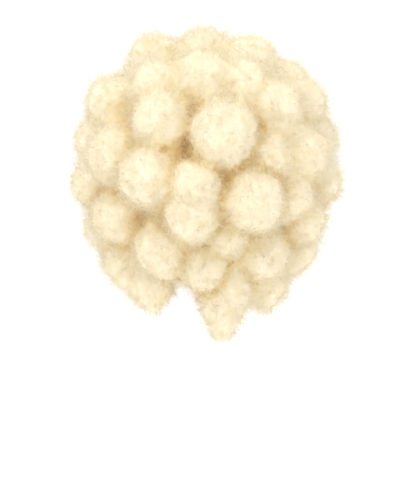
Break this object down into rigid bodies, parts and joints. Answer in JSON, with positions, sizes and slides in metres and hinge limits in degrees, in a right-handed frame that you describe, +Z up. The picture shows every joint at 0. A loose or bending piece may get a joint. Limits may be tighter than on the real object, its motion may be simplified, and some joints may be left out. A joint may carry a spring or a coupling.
{
  "type": "afro wig",
  "caption": "Large round afro wig of teased ball puffs on an open net cap with an elastic edge, with one lock hanging at the nape.",
  "frame": {"origin": "inside of the cap at its top, where the top of the head sits", "axes": "+Z up, +Y where the wearer looks, +X to the wearer's right"},
  "size_m": [0.3529, 0.3546, 0.4008],
  "materials": {
    "hair": "teased synthetic fibre, platinum blond, matt and fluffy",
    "cap_net": "knitted net of a wig cap",
    "edge_elastic": "woven elastic tape"
  },
  "bodies": {
    "root": {"back_puff_1": "hair", "back_puff_2": "hair", "back_puff_3": "hair", "back_puff_4": "hair", "back_puff_5": "hair", "back_puff_6": "hair", "back_puff_7": "hair", "crown_puff_1": "hair", "crown_puff_2": "hair", "crown_puff_3": "hair", "crown_puff_4": "hair", "crown_puff_5": "hair", "crown_puff_6": "hair", "crown_puff_7": "hair", "crown_puff_8": "hair", "edge_band": "edge_elastic", "front_puff_1": "hair", "front_puff_2": "hair", "front_puff_3": "hair", "front_puff_4": "hair", "front_puff_5": "hair", "front_puff_6": "hair", "front_puff_7": "hair", "front_puff_8": "hair", "left_side_puff_1": "hair", "left_side_puff_10": "hair", "left_side_puff_11": "hair", "left_side_puff_2": "hair", "left_side_puff_3": "hair", "left_side_puff_4": "hair", "left_side_puff_5": "hair", "left_side_puff_6": "hair", "left_side_puff_7": "hair", "left_side_puff_8": "hair", "left_side_puff_9": "hair", "lower_back_puff_1": "hair", "lower_back_puff_2": "hair", "lower_back_puff_3": "hair", "lower_back_puff_4": "hair", "lower_back_puff_5": "hair", "lower_back_puff_6": "hair", "nape_lock": "hair", "net_cap": "cap_net", "right_side_puff_1": "hair", "right_side_puff_10": "hair", "right_side_puff_11": "hair", "right_side_puff_2": "hair", "right_side_puff_3": "hair", "right_side_puff_4": "hair", "right_side_puff_5": "hair", "right_side_puff_6": "hair", "right_side_puff_7": "hair", "right_side_puff_8": "hair", "right_side_puff_9": "hair", "upper_back_puff_1": "hair", "upper_back_puff_2": "hair", "upper_back_puff_3": "hair", "upper_back_puff_4": "hair", "upper_back_puff_5": "hair", "upper_back_puff_6": "hair"}
  },
  "joints": []
}
